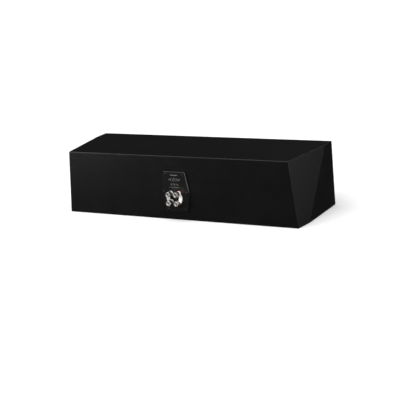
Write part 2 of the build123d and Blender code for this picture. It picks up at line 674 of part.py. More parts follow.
def terminal_plate():
    """Moulded plate with a chamfered border."""
    blank = extrude(plate_outline(0), amount=PLATE_THICKNESS)
    blank = fillet(blank.edges().filter_by(Axis.Z), PLATE_CORNER)
    blank = chamfer(blank.edges().group_by(Axis.Z)[-1], PLATE_CHAMFER)
    plate = on_back(0, PLATE_Z, PLATE_GASKET, blank)
    post_hole = disc(BUSH_SPIGOT_DIAMETER + 2 * POST_CLEARANCE, -2 * PLATE_THICKNESS, PLATE_THICKNESS)
    screw_holes = at_plate(plate_screw_places(), plate_screw_hole())
    return without(plate, screw_holes + at_posts(ALL_POSTS, post_hole))


def terminal_hole(low, high):
    """Opening behind the terminal plate, centred on the posts."""
    outline = RectangleRounded(TERMINAL_HOLE_WIDTH, TERMINAL_HOLE_HEIGHT, TERMINAL_HOLE_CORNER)
    return on_back(0, POST_HEIGHT, 0, Pos(0, 0, low) * extrude(outline, amount=high - low))


def terminal_gasket():
    """Foam sheet between the plate and the panel."""
    foam = on_back(0, PLATE_Z, 0, extrude(plate_outline(PLATE_GASKET_INSET), amount=PLATE_GASKET))
    screw_holes = at_plate(plate_screw_places(), plate_screw_hole())
    return without(foam, [terminal_hole(0, PLATE_GASKET), *screw_holes])


def back_panel(panel):
    """Back panel with the terminal opening and the pilot holes of the plate's screws."""
    screw_holes = at_plate(plate_screw_places(), plate_screw_hole())
    return without(panel, [terminal_hole(-2 * WALL, 0), *screw_holes])


def plate_screw():
    """Slotted round-head screw that holds the terminal plate."""
    radius = PLATE_SCREW_HEAD / 2
    shoulder = (radius * PLATE_SCREW_SHOULDER, PLATE_SCREW_DOME * PLATE_SCREW_CROWN)
    dome = ThreePointArc((radius, 0), shoulder, (0, PLATE_SCREW_DOME))
    head = turned(dome, Line(dome @ 1, (0, 0)), Line((0, 0), dome @ 0))
    slot = Pos(0, 0, PLATE_SCREW_DOME) * Box(2 * PLATE_SCREW_HEAD, SLOT_WIDTH, 2 * SLOT_DEPTH)
    shank = disc(PLATE_SCREW_DIAMETER, -PLATE_SCREW_LENGTH - PLATE_FACE, 0)
    return Pos(0, 0, PLATE_FACE) * (head - slot + shank)


# Binding post, made on the Z axis with the plate's face at height 0
COLLAR_HEIGHT = BUSH_THICKNESS
JUMPER_HEIGHT = COLLAR_HEIGHT + STUD_COLLAR
WASHER_HEIGHT = JUMPER_HEIGHT + JUMPER_THICKNESS
NUT_HEIGHT = WASHER_HEIGHT + WASHER_THICKNESS
NUT_END = NUT_HEIGHT + NUT_LENGTH
STUD_END = NUT_END - STUD_RECESS


def post_bush():
    """Coloured insulating bush with a spigot through the plate."""
    bore = STUD_DIAMETER + 2 * POST_CLEARANCE
    spigot = ring(BUSH_SPIGOT_DIAMETER, bore, -PLATE_THICKNESS, 0)
    return ring(BUSH_DIAMETER, bore, 0, BUSH_THICKNESS) + spigot


def stud():
    """Stud with its collar and the socket for a banana plug."""
    shaft = disc(STUD_DIAMETER, -STUD_INNER_LENGTH, STUD_END)
    collar = disc(STUD_COLLAR_DIAMETER, COLLAR_HEIGHT, JUMPER_HEIGHT)
    return shaft + collar - disc(SOCKET_BORE, STUD_END - SOCKET_BORE_DEPTH, STUD_END)


def washer():
    """Flat pressure washer under the thumb nut."""
    bore = STUD_DIAMETER + 2 * LOOSE_CLEARANCE
    return ring(WASHER_DIAMETER, bore, WASHER_HEIGHT, NUT_HEIGHT)


def thumb_nut():
    """Fluted thumb nut, open at its outer end for the plug."""
    radius = NUT_DIAMETER / 2
    bore = STUD_DIAMETER / 2 + THREAD_CLEARANCE
    mouth = NUT_MOUTH_DIAMETER / 2
    blank = turned_outline(
        (bore, NUT_HEIGHT), (radius - NUT_CHAMFER, NUT_HEIGHT), (radius, NUT_HEIGHT + NUT_CHAMFER),
        (radius, NUT_END - NUT_CHAMFER), (radius - NUT_CHAMFER, NUT_END), (mouth, NUT_END),
        (bore, NUT_END - NUT_MOUTH_DEPTH),
    )
    flute = disc(NUT_FLUTE_DIAMETER, NUT_HEIGHT + NUT_FLUTE_END, NUT_END - NUT_FLUTE_END)
    return without(blank, on_circle(NUT_DIAMETER + NUT_FLUTE_DIAMETER / 2, NUT_FLUTES, flute))


def jumper(polarity):
    """Flat link between the two posts of one pair, bowed away from the other pair."""
    (x, high), (x, low) = POST_PLACES[polarity]
    bow = math.copysign(JUMPER_BOW, x)
    path = ThreePointArc((x, high), (x + bow, (high + low) / 2), (x, low))
    hole = Circle(STUD_DIAMETER / 2 + LOOSE_CLEARANCE)
    link = extrude(SlotArc(path, JUMPER_WIDTH), amount=JUMPER_THICKNESS)
    link = fillet(link.edges().group_by(Axis.Z)[-1], JUMPER_ROUND)
    eyes = [Pos(x, z) * extrude(hole, amount=JUMPER_THICKNESS) for z in (high, low)]
    return on_back(0, 0, PLATE_FACE + JUMPER_HEIGHT, without(link, eyes))


def solder_tag(side):
    """Ring tag on the stud behind the plate, its tail pointing away from the other pair."""
    tail = Pos(side * TAG_REACH / 2, 0) * Rectangle(TAG_REACH, TAG_WIDTH)
    flat = Circle(TAG_DIAMETER / 2) + tail - Circle(STUD_DIAMETER / 2 + POST_CLEARANCE)
    return Pos(0, 0, -PLATE_THICKNESS - TAG_THICKNESS) * extrude(flat, amount=TAG_THICKNESS)


def hex_nut():
    """Nut that clamps the stud from behind the plate."""
    bore = Circle(STUD_DIAMETER / 2 + THREAD_CLEARANCE)
    outline = RegularPolygon(HEX_NUT_WIDTH / 2, 6, major_radius=False)
    front = -PLATE_THICKNESS - TAG_THICKNESS
    return Pos(0, 0, front) * extrude(outline - bore, amount=-HEX_NUT_THICKNESS)


# Crossover, on the bottom panel beside the right brace
BOARD_LENGTH = BOARD_WIRE_STRIP + 2 * CAPACITOR_LENGTH + RESISTOR_LENGTH + 3 * COMPONENT_GAP
BOARD_WIDTH = BASS_COIL_DIAMETER + CAPACITOR_DIAMETER + 3 * COMPONENT_GAP
BOARD_LEFT = BRACE_OFFSET + BRACE_THICKNESS / 2 + BOARD_GAP
BOARD_REAR = INNER_BACK - BOARD_BACK_GAP
BOARD_TOP = WALL + BOARD_THICKNESS


def on_board(x, y, shape):
    """Place a shape by the board's front left corner, height 0 on its face."""
    return Pos(BOARD_LEFT + x, BOARD_REAR - BOARD_WIDTH + y, BOARD_TOP) * shape


def board_screw_places():
    """Screws near the board's corners."""
    near = BOARD_SCREW_INSET
    return [(x, y) for x in (near, BOARD_LENGTH - near) for y in (near, BOARD_WIDTH - near)]


def board_screw_hole():
    """Clearance hole through the board, blind in the bottom panel."""
    bottom = -PLATE_SCREW_LENGTH - SCREW_TIP_GAP
    return disc(PLATE_SCREW_DIAMETER + 2 * SCREW_CLEARANCE, bottom, BOARD_THICKNESS)


def crossover_board():
    """Hardboard that carries the crossover."""
    sheet = Pos(BOARD_LENGTH / 2, BOARD_WIDTH / 2, -BOARD_THICKNESS / 2) * Box(
        BOARD_LENGTH, BOARD_WIDTH, BOARD_THICKNESS
    )
    return on_board(0, 0, sheet) - [on_board(x, y, board_screw_hole()) for x, y in board_screw_places()]


def board_screw():
    """Round-head screw, its head on the board."""
    head = disc(PLATE_SCREW_HEAD, 0, PLATE_SCREW_DOME)
    return head + disc(PLATE_SCREW_DIAMETER, -PLATE_SCREW_LENGTH, 0)


def air_coil(diameter, height):
    """Wound air-core inductor standing on the board."""
    winding = ring(diameter, diameter * COIL_HOLE_SHARE, 0, height)
    return fillet(winding.edges().group_by(Axis.Z)[-1], height / 10)


def capacitor():
    """Axial film capacitor lying on the board along X."""
    can = disc(CAPACITOR_DIAMETER, 0, CAPACITOR_LENGTH)
    can = fillet(can.edges().filter_by(GeomType.CIRCLE), CAPACITOR_ROUND)
    return Pos(0, 0, CAPACITOR_DIAMETER / 2) * Rot(0, 90, 0) * can


def resistor():
    """Ceramic power resistor lying on the board along X."""
    body = Box(RESISTOR_LENGTH, RESISTOR_WIDTH, RESISTOR_WIDTH)
    return Pos(RESISTOR_LENGTH / 2, 0, RESISTOR_WIDTH / 2) * body


# Wiring, from solder tags and driver blocks to the board
def wire(points, diameter):
    """Round wire along straight runs joined by arcs."""
    path = FilletPolyline(*points, radius=WIRE_BEND)
    start = Plane(origin=path @ 0, z_dir=path % 0)
    return sweep(start * Circle(diameter / 2), path=path)


def tag_wires():
    """One wire from each solder tag through the brace's window to the board's left edge."""
    wires = []
    for index, (x, z) in enumerate(ALL_POSTS):
        tail = -x - math.copysign(TAG_REACH - TAG_WIDTH / 2, x)
        level = BACK + PLATE_GASKET - TAG_THICKNESS
        run = INNER_BACK - BRACE_FRAME - (index + 1) * WIRE_PITCH
        drop = BOARD_LEFT + WIRE_PITCH
        points = [(tail, level, z), (tail, run, z), (drop, run, z), (drop, run, BOARD_TOP)]
        wires.append(wire(points, WIRE_DIAMETER))
    return wires


def driver_cables():
    """Twin cables from the board to both bass drivers and the tweeter."""
    block_end = (TOP_PLATE_DIAMETER / 2) + BLOCK_WIDTH + GLUE_LINE
    block_y = FRONT + BASKET_DEPTH + BLOCK_HEIGHT / 2
    left = -WOOFER_SPACING / 2 + block_end
    right = WOOFER_SPACING / 2 + block_end
    front_edge = BOARD_REAR - BOARD_WIDTH
    drop = BOARD_LEFT + WIRE_PITCH
    near = front_edge + 2 * WIRE_PITCH
    far = front_edge + 4 * WIRE_PITCH
    turn = left + 2 * WIRE_BEND
    out = BOARD_LEFT + BOARD_LENGTH - WIRE_PITCH
    tweeter_z = DRIVER_Z - TWEETER_MOTOR_DIAMETER / 4
    tweeter_y = FRONT - TWEETER_BACK + BLOCK_HEIGHT
    routes = [
        [(left, block_y, DRIVER_Z), (turn, block_y, DRIVER_Z), (turn, near, DRIVER_Z),
         (drop, near, DRIVER_Z), (drop, near, BOARD_TOP)],
        [(right, block_y, DRIVER_Z), (out, block_y, DRIVER_Z), (out, near, DRIVER_Z),
         (out, near, BOARD_TOP)],
        [(0, tweeter_y, tweeter_z), (0, far, tweeter_z), (drop, far, tweeter_z), (drop, far, BOARD_TOP)],
    ]
    return [wire(route, CABLE_DIAMETER) for route in routes]


def damping_pads():
    """Wadding on the back panel, full height at the left, above the crossover at the right."""
    inside = BRACE_OFFSET + BRACE_THICKNESS / 2 + PAD_GAP
    outside = CABINET_WIDTH / 2 - BEVEL_TOP - WALL - PAD_GAP
    top = INNER_TOP - PAD_GAP
    right_start = BOARD_LEFT + 3 * WIRE_PITCH
    spans = [(-outside, -inside, WALL + PAD_GAP), (right_start, outside, DRIVER_Z)]
    pads = []
    for left, right, bottom in spans:
        pad = Box(right - left, PAD_THICKNESS, top - bottom)
        place = ((left + right) / 2, INNER_BACK - PAD_THICKNESS / 2, (bottom + top) / 2)
        pads.append(Pos(*place) * fillet(pad.edges().filter_by(Axis.Y), PAD_GAP))
    return pads


def export_cabinet():
    panels = cabinet_panels()
    panels["front_baffle"] = front_baffle(panels["front_baffle"])
    panels["back_panel"] = back_panel(panels["back_panel"])
    holes = [on_board(x, y, board_screw_hole()) for x, y in board_screw_places()]
    panels["bottom_panel"] = without(panels["bottom_panel"], holes)
    for name, panel in panels.items():
        export(name, panel)
    for name, side in (("left_brace", -1), ("right_brace", 1)):
        export(name, Pos(side * BRACE_OFFSET, 0, 0) * brace())


def export_woofers():
    pieces = {
        "basket": basket(),
        "top_plate": ring(TOP_PLATE_DIAMETER, GAP_OUTER, TOP_PLATE_BACK, -BASKET_DEPTH),
        "magnet": ring(MAGNET_DIAMETER, MAGNET_HOLE, MAGNET_BACK, TOP_PLATE_BACK),
        "yoke": yoke(),
        "voice_coil": voice_coil(),
        "spider": spider(),
        "cone": cone(),
        "dust_cap": dust_cap(),
        "surround": surround(),
    }
    for side, x in (("left", -WOOFER_SPACING / 2), ("right", WOOFER_SPACING / 2)):
        for name, piece in pieces.items():
            export(f"{side}_woofer_{name}", on_baffle(x, piece))
    screws = on_circle(WOOFER_SCREW_CIRCLE, WOOFER_SCREWS, flange_screw(WOOFER_FLANGE_THICKNESS))
    both = [on_baffle(side * WOOFER_SPACING / 2, screw) for side in (-1, 1) for screw in screws]
    export("woofer_screws", *both)


def export_tweeter():
    motor = TWEETER_MOTOR_DIAMETER
    pieces = {
        "faceplate": tweeter_faceplate(),
        "diaphragm": tweeter_diaphragm(),
        "top_plate": ring(motor, TWEETER_GAP_OUTER, TWEETER_MAGNET_FRONT, DIAPHRAGM_BACK),
        "magnet": ring(motor, TWEETER_MAGNET_HOLE, TWEETER_YOKE_FRONT, TWEETER_MAGNET_FRONT),
        "yoke": tweeter_yoke(),
    }
    for name, piece in pieces.items():
        export(f"tweeter_{name}", on_baffle(0, piece))
    screws = at_tweeter_screws(flange_screw(TWEETER_THICKNESS))
    export("tweeter_screws", *[on_baffle(0, screw) for screw in screws])


def export_seals_and_blocks():
    seals = [on_baffle(side * WOOFER_SPACING / 2, woofer_gasket()) for side in (-1, 1)]
    export("sealing_gaskets", *seals, on_baffle(0, tweeter_gasket()), terminal_gasket())
    export("driver_connection_blocks", *driver_blocks())


def export_terminals():
    export("terminal_plate", terminal_plate())
    export("terminal_plate_screws", *at_plate(plate_screw_places(), plate_screw()))
    export("red_post_bushes", *at_posts(POST_PLACES["positive"], post_bush()))
    export("black_post_bushes", *at_posts(POST_PLACES["negative"], post_bush()))
    export("binding_post_studs", *at_posts(ALL_POSTS, stud()))
    export("post_hex_nuts", *at_posts(ALL_POSTS, hex_nut()))
    tags = []
    for polarity, places in POST_PLACES.items():
        export(f"{polarity}_jumper", jumper(polarity))
        tags += at_posts(places, solder_tag(math.copysign(1, places[0][0])))
        for level, place in zip(("upper", "lower"), places):
            export(f"{level}_{polarity}_washer", *at_posts([place], washer()))
            export(f"{level}_{polarity}_thumb_nut", *at_posts([place], thumb_nut()))
    export("solder_tags", *tags)


def export_crossover():
    export("crossover_board", crossover_board())
    export("crossover_screws", *[on_board(x, y, board_screw()) for x, y in board_screw_places()])
    bass_x = BOARD_WIRE_STRIP + BASS_COIL_DIAMETER / 2
    bass_y = COMPONENT_GAP + BASS_COIL_DIAMETER / 2
    bass_coil = air_coil(BASS_COIL_DIAMETER, BASS_COIL_HEIGHT)
    export("bass_inductor", on_board(bass_x, bass_y, bass_coil))
    treble_x = BOARD_WIRE_STRIP + BASS_COIL_DIAMETER + COMPONENT_GAP + TREBLE_COIL_DIAMETER / 2
    treble_y = COMPONENT_GAP + TREBLE_COIL_DIAMETER / 2
    treble_coil = air_coil(TREBLE_COIL_DIAMETER, TREBLE_COIL_HEIGHT)
    export("treble_inductor", on_board(treble_x, treble_y, treble_coil))
    rear = BOARD_WIDTH - COMPONENT_GAP - CAPACITOR_DIAMETER / 2
    starts = [BOARD_WIRE_STRIP, BOARD_WIRE_STRIP + CAPACITOR_LENGTH + COMPONENT_GAP]
    export("crossover_capacitors", *[on_board(x, rear, capacitor()) for x in starts])
    column = BOARD_WIRE_STRIP + 2 * (CAPACITOR_LENGTH + COMPONENT_GAP)
    rows = [rear, rear - RESISTOR_WIDTH - COMPONENT_GAP]
    export("crossover_resistors", *[on_board(column, y, resistor()) for y in rows])


def export_wiring_and_damping():
    export("internal_wiring", *tag_wires(), *driver_cables())
    export("damping_pads", *damping_pads())


os.makedirs("parts", exist_ok=True)
export_cabinet()
export_woofers()
export_tweeter()
export_seals_and_blocks()
export_terminals()
export_crossover()
export_wiring_and_damping()
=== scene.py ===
import json
import math
import bmesh
import bpy
from mathutils import Matrix, Vector
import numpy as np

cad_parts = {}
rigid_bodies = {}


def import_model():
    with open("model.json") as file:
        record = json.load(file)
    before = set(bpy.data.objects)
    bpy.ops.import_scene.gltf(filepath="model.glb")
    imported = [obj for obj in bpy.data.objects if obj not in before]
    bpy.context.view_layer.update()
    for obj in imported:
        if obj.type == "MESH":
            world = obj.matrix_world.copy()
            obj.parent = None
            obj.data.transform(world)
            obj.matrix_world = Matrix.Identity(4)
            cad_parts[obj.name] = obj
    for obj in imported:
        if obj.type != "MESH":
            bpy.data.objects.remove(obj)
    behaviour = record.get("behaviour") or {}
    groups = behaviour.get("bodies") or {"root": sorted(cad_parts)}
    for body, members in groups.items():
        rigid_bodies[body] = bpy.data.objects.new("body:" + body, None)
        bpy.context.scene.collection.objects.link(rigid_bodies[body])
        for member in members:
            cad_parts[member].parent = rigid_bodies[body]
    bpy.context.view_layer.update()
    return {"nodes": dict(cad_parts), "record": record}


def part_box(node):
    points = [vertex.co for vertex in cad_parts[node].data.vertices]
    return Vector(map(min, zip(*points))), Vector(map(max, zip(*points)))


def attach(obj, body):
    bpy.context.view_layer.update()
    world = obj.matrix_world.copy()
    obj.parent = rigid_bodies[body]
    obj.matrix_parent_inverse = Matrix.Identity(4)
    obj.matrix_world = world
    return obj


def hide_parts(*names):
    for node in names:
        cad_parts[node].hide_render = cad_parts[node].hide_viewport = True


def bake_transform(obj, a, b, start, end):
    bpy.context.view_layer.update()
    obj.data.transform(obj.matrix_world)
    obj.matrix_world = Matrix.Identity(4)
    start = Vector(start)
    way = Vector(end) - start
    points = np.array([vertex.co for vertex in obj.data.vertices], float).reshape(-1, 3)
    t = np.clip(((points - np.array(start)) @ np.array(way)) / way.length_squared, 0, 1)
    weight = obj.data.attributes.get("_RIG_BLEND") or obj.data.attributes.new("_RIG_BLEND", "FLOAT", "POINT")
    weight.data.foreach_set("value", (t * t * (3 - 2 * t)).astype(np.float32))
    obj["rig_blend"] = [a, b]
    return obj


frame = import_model()
NODES = frame["nodes"]
MM = 0.001

# Camera, from a perspective fit of the cabinet's corners in the photograph
CAMERA_PLACE = (-1.5143, 2.5351, 0.8528)
CAMERA_HEADING = math.radians(-149.244)
CAMERA_ELEVATION = math.radians(15.724)
CAMERA_ROLL = math.radians(-5.381)
CAMERA_LENS_MM = 103.27
SENSOR_MM = 36.0
CLIP_END = 100.0

# Outer face of the terminal plate, read from the frame
PLATE_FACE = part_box("terminal_plate")[1].y

# Range of a noise texture over which a finish goes from its low to its high value
NOISE_LOW = 0.3
NOISE_HIGH = 0.7

# Spread of roughness, as a share, in grained and in turned finishes
GRAIN_SPREAD = 0.15
TURNING_SPREAD = 0.3
FUZZ_SCALE = 0.6                 # share of a weave's scale

# Grained finishes: dark tone, light tone, roughness, scale, relief in metres, specular where not usual
SPECKLED = {
    "raw_board": ((0.3, 0.2, 0.11), (0.45, 0.33, 0.2), 0.8, 300.0, 0.0003),
    "driver_black": ((0.011, 0.011, 0.012), (0.02, 0.02, 0.021), 0.42, 900.0, 0.0002),
    "ferrite": ((0.04, 0.04, 0.042), (0.075, 0.075, 0.08), 0.7, 500.0, 0.0003),
    "dust_cap": ((0.014, 0.014, 0.015), (0.024, 0.024, 0.025), 0.4, 600.0, 0.0002),
    "surround_rubber": ((0.01, 0.01, 0.01), (0.018, 0.018, 0.018), 0.5, 700.0, 0.0002),
    "foam": ((0.015, 0.015, 0.015), (0.04, 0.04, 0.04), 0.9, 900.0, 0.0004),
    "terminal_plastic": ((0.005, 0.005, 0.0055), (0.009, 0.009, 0.009), 0.3, 1500.0, 0.00003, 0.3),
    "red_plastic": ((0.22, 0.005, 0.006), (0.3, 0.008, 0.009), 0.3, 900.0, 0.0001),
    "black_plastic": ((0.01, 0.01, 0.01), (0.018, 0.018, 0.018), 0.3, 900.0, 0.0001),
    "capacitor_film": ((0.45, 0.07, 0.03), (0.6, 0.13, 0.06), 0.3, 200.0, 0.0001),
    "ceramic_white": ((0.6, 0.59, 0.55), (0.76, 0.75, 0.71), 0.75, 600.0, 0.0003),
    "wire_sleeve": ((0.03, 0.03, 0.03), (0.06, 0.06, 0.06), 0.5, 500.0, 0.0002),
    "wadding": ((0.62, 0.62, 0.6), (0.82, 0.82, 0.8), 0.95, 180.0, 0.002),
}

# Metals with turning marks: dark tone, light tone, roughness, metallic share where not full
BRUSHED = {
    "motor_steel": ((0.42, 0.42, 0.43), (0.6, 0.6, 0.61), 0.35),
    "screw_black": ((0.03, 0.03, 0.031), (0.06, 0.06, 0.062), 0.35),
    "post_metal": ((0.3, 0.29, 0.28), (0.44, 0.43, 0.41), 0.36),
    "jumper_metal": ((0.8, 0.78, 0.76), (0.95, 0.93, 0.91), 0.3, 0.5),
    "collar_metal": ((0.15, 0.146, 0.142), (0.2, 0.195, 0.19), 0.4, 0.3),
}

# Cloths: dark tone, light tone, scale of the weave, roughness
WOVEN = {
    "spider_cloth": ((0.42, 0.27, 0.1), (0.62, 0.43, 0.19), 900.0, 0.8),
    "dome_silk": ((0.02, 0.02, 0.022), (0.045, 0.045, 0.05), 1600.0, 0.55),
}

# Nodes whose finish isn't the one of their slot
FINISH_INSTEAD = {
    "left_woofer_dust_cap": "dust_cap",
    "right_woofer_dust_cap": "dust_cap",
    "positive_jumper": "jumper_metal",
    "negative_jumper": "jumper_metal",
    "upper_positive_washer": "jumper_metal",
    "upper_negative_washer": "jumper_metal",
    "lower_positive_washer": "jumper_metal",
    "lower_negative_washer": "jumper_metal",
    "binding_post_studs": "collar_metal",
}

# Radii between which each ring of a bass driver bends, in metres
INNER_EDGE = {"surround": 50.0 * MM, "spider": 18.5 * MM}
OUTER_EDGE = {"surround": 57.0 * MM, "spider": 35.0 * MM}

# Print on the terminal plate, in millimetres right and up as seen from behind
PRINT_PROUD = 0.06 * MM
TICKS_Z = 120.8
TICK_COUNT = 7
TICK_STEP = 3.0
TICK_SIZE = (1.8, 1.1)
WAVE_Z = 109.0
WAVE_HALF = 17.0
WAVE_HEIGHT = 8.5
WAVE_CYCLES = 4.5
WAVE_STROKE = 0.7
WAVE_STEPS = 48
SIGNS_Z = 96.0
RING_X = 8.5
RING_OUTER = 1.9
RING_INNER = 1.6
RING_STEPS = 24
BAR_STEP = 1.4
BAR_SIZE = (4.0, 0.35)
RULE_Z = 88.4
RULE_SIZE = (29.0, 0.3)

# Polarity signs, moulded under the posts, in millimetres
SIGN_X = 11.6
SIGN_Z = 36.0
SIGN_ARM = 2.4
SIGN_STROKE = 1.1
SIGN_PROUD = 0.5 * MM

# Stage
FLOOR_SIZE = 80.0
FLOOR_TONE = (0.86, 0.86, 0.86)
ROOM_LIGHT = 0.012
CEILING_LIGHT = 4.1
CEILING_SPREAD = math.radians(80.0)
CEILING_FROM = (0.15, 0.4, 1.0)

# Softboxes: place, point aimed at, width and height, all in metres, then power in watts
SOFTBOXES = {
    "rear_left": ((1.0, 0.8, 0.35), (0.35, 0.1, 0.08), (0.35, 0.3), 5.6),
    "end_right": ((-2.1, -0.7, 0.3), (-0.34, 0.05, 0.085), (0.4, 0.4), 8.8),
    "front": ((-0.8, -1.7, 2.0), (0, 0, 0.09), (1.1, 0.9), 10.0),
    "rear_right": ((-1.9, 1.3, 0.3), (-0.1, 0.1, 0.09), (0.3, 0.4), 16.0),
    "front_fill": ((-1.3, -2.2, 0.8), (0, -0.1, 0.09), (1.4, 0.9), 60.0),
    "post_glow": ((0.75, 1.25, 0.3), (0, 0.12, 0.06), (1.1, 0.55), 13.0),
    "base_glow": ((-0.9, 1.3, 0.9), (0, 0.12, 0.06), (0.6, 0.6), 9.0),
    "collar_glow": ((-0.8, 0.3, 1.35), (0, 0.115, 0.06), (0.5, 0.3), 240.0),
}

# Softboxes that light some pieces alone, with words from the names of those pieces
LIT_ALONE = {
    "front_fill": ("front_baffle", "woofer", "tweeter", "surround_soft"),
    "post_glow": ("studs", "thumb_nut", "washer", "positive_jumper", "hex_nuts", "solder_tags"),
    "base_glow": ("washer", "positive_jumper"),
    "collar_glow": ("washer", "studs"),
}


# Material helpers
def principled(name, colour, roughness, metallic=0.0, specular=0.5):
    """New material with its plain shader values set."""
    mat = bpy.data.materials.new(name)
    mat.use_nodes = True
    shader = shader_of(mat)
    shader.inputs["Base Color"].default_value = (*colour, 1.0)
    shader.inputs["Roughness"].default_value = roughness
    shader.inputs["Metallic"].default_value = metallic
    shader.inputs["Specular IOR Level"].default_value = specular
    mat.diffuse_color = (*colour, 1.0)
    return mat


def shader_of(mat):
    """Main shader of a material."""
    return mat.node_tree.nodes["Principled BSDF"]


def node(mat, kind, **values):
    """Add a node and set its properties and inputs by name."""
    made = mat.node_tree.nodes.new(kind)
    for key, value in values.items():
        if key in made.inputs:
            made.inputs[key].default_value = value
        else:
            setattr(made, key, value)
    return made


def link(mat, source, output, target, socket):
    """Join an output to an input."""
    mat.node_tree.links.new(source.outputs[output], target.inputs[socket])


def noise_texture(mat, scale, stretch=(1, 1, 1), detail=4.0):
    """Noise in the object's own coordinates, stretched by axis."""
    coords = node(mat, "ShaderNodeTexCoord")
    mapping = node(mat, "ShaderNodeMapping", Scale=stretch)
    noise = node(mat, "ShaderNodeTexNoise", Scale=scale, Detail=detail)
    link(mat, coords, "Object", mapping, "Vector")
    link(mat, mapping, "Vector", noise, "Vector")
    return noise


def vary_roughness(mat, texture, low, high):
    """Roughness that follows a texture between two values."""
    spread = node(mat, "ShaderNodeMapRange")
    spread.inputs["From Min"].default_value = NOISE_LOW
    spread.inputs["From Max"].default_value = NOISE_HIGH
    spread.inputs["To Min"].default_value = low
    spread.inputs["To Max"].default_value = high
    link(mat, texture, "Fac", spread, "Value")
    link(mat, spread, "Result", shader_of(mat), "Roughness")


def vary_colour(mat, texture, dark, light):
    """Colour that follows a texture between two tones."""
    ramp = node(mat, "ShaderNodeValToRGB")
    ramp.color_ramp.elements[0].position = NOISE_LOW
    ramp.color_ramp.elements[1].position = NOISE_HIGH
    ramp.color_ramp.elements[0].color = (*dark, 1.0)
    ramp.color_ramp.elements[1].color = (*light, 1.0)
    link(mat, texture, "Fac", ramp, "Fac")
    link(mat, ramp, "Color", shader_of(mat), "Base Color")


def add_bump(mat, source, output, strength, depth):
    """Surface relief from a texture, its depth in metres."""
    bump = node(mat, "ShaderNodeBump", Strength=strength, Distance=depth)
    link(mat, source, output, bump, "Height")
    link(mat, bump, "Normal", shader_of(mat), "Normal")


def radius_rings(mat, rings):
    """Concentric rings about a driver's axis, from the middle of a round node's box to its edge."""
    coords = node(mat, "ShaderNodeTexCoord")
    centre = node(mat, "ShaderNodeVectorMath", operation="SUBTRACT")
    centre.inputs[1].default_value = (0.5, 0.5, 0.5)
    flat = node(mat, "ShaderNodeVectorMath", operation="MULTIPLY")
    flat.inputs[1].default_value = (1.0, 0.0, 1.0)
    length = node(mat, "ShaderNodeVectorMath", operation="LENGTH")
    turns = node(mat, "ShaderNodeMath", operation="MULTIPLY")
    turns.inputs[1].default_value = rings * 2 * math.tau
    wave = node(mat, "ShaderNodeMath", operation="SINE")
    link(mat, coords, "Generated", centre, 0)
    link(mat, centre, "Vector", flat, 0)
    link(mat, flat, "Vector", length, 0)
    link(mat, length, "Value", turns, 0)
    link(mat, turns, "Value", wave, 0)
    return wave


# Finishes
def cabinet_finish():
    """Satin black lacquer: close fine grain, broad uneven patches of tone."""
    mat = principled("cabinet_black", (0.003, 0.003, 0.003), roughness=0.38, specular=0.35)
    patches = noise_texture(mat, scale=14.0, detail=3.0)
    vary_colour(mat, patches, dark=(0.0022, 0.0022, 0.0022), light=(0.0034, 0.0034, 0.0034))
    grain = noise_texture(mat, scale=240.0, stretch=(0.15, 1.0, 1.0), detail=6.0)
    vary_roughness(mat, grain, low=0.34, high=0.42)
    add_bump(mat, grain, "Fac", strength=0.08, depth=0.0002)
    return mat


def speckled(name, colour, light, roughness, scale, relief, specular=0.5):
    """Finish with fine uneven grain in tone, gloss and relief."""
    mat = principled(name, colour, roughness, specular=specular)
    noise = noise_texture(mat, scale, detail=6.0)
    vary_colour(mat, noise, colour, light)
    dullest = min(1.0, roughness * (1 + GRAIN_SPREAD))
    vary_roughness(mat, noise, roughness * (1 - GRAIN_SPREAD), dullest)
    add_bump(mat, noise, "Fac", strength=0.3, depth=relief)
    return mat


def brushed_metal(name, colour, light, roughness, metallic=1.0):
    """Bright metal with fine turning marks."""
    mat = principled(name, colour, roughness, metallic=metallic)
    marks = noise_texture(mat, scale=900.0, stretch=(0.2, 3.0, 0.2), detail=3.0)
    vary_colour(mat, marks, colour, light)
    vary_roughness(mat, marks, roughness * (1 - TURNING_SPREAD), roughness * (1 + TURNING_SPREAD))
    return mat


def cone_finish():
    """Coated pulp: dark fibres and faint pressed rings."""
    mat = principled("cone_black", (0.018, 0.018, 0.019), roughness=0.5, specular=0.4)
    fibre = noise_texture(mat, scale=420.0, detail=8.0)
    vary_colour(mat, fibre, dark=(0.014, 0.014, 0.015), light=(0.032, 0.032, 0.034))
    vary_roughness(mat, fibre, low=0.42, high=0.58)
    add_bump(mat, radius_rings(mat, rings=9), "Value", strength=0.25, depth=0.0006)
    return mat


def woven(name, dark, light, scale, roughness):
    """Cloth with a fine crossed weave."""
    mat = principled(name, light, roughness, specular=0.3)
    coords = node(mat, "ShaderNodeTexCoord")
    weave = node(mat, "ShaderNodeTexChecker", Scale=scale)
    link(mat, coords, "Object", weave, "Vector")
    fuzz = noise_texture(mat, scale * FUZZ_SCALE)
    vary_colour(mat, fuzz, dark, light)
    add_bump(mat, weave, "Fac", strength=0.3, depth=0.0002)
    return mat


def wound_copper():
    """Enamelled wire laid turn by turn."""
    mat = principled("copper_coil", (0.55, 0.2, 0.08), roughness=0.3, metallic=1.0)
    coords = node(mat, "ShaderNodeTexCoord")
    turns = node(mat, "ShaderNodeTexWave", Scale=350.0, bands_direction="Z")
    link(mat, coords, "Object", turns, "Vector")
    vary_colour(mat, turns, dark=(0.35, 0.11, 0.04), light=(0.7, 0.3, 0.12))
    add_bump(mat, turns, "Fac", strength=0.5, depth=0.0004)
    return mat


def plate_ink():
    """Pale ink, worn a little unevenly."""
    mat = principled("plate_ink", (0.4, 0.385, 0.345), roughness=0.5)
    wear = noise_texture(mat, scale=2500.0)
    vary_colour(mat, wear, dark=(0.28, 0.27, 0.24), light=(0.52, 0.5, 0.45))
    return mat


